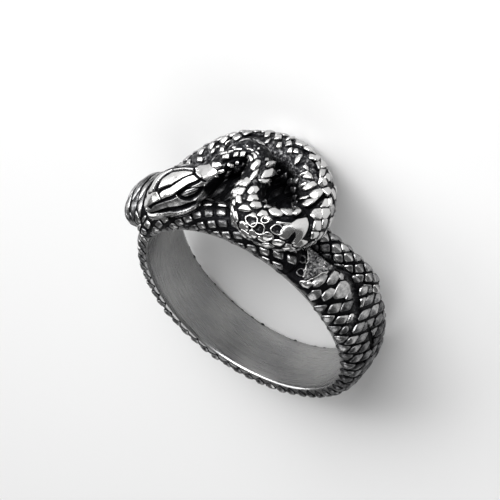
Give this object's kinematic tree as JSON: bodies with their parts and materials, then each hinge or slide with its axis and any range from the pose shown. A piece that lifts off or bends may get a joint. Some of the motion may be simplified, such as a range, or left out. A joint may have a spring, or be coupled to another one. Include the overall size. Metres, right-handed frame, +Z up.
{
  "type": "snake ring",
  "caption": "One-piece cast finger ring: a scaled band that rises into a coiled snake, with a hooked neck and a head resting on one shoulder.",
  "frame": {"origin": "on the surface the ring lies on, below the middle of its bounding box", "axes": "the ring lies on its far side, as it rests by itself; +Z up, near the axis of the finger hole; -Y towards the coiled top of the ring; +X towards the shoulder that carries the head"},
  "size_m": [0.0228, 0.0266, 0.0102],
  "materials": {
    "cast_metal": "oxidised dark in the recesses, polished on the high spots"
  },
  "bodies": {
    "root": {"snake_ring": "cast_metal"}
  },
  "joints": []
}
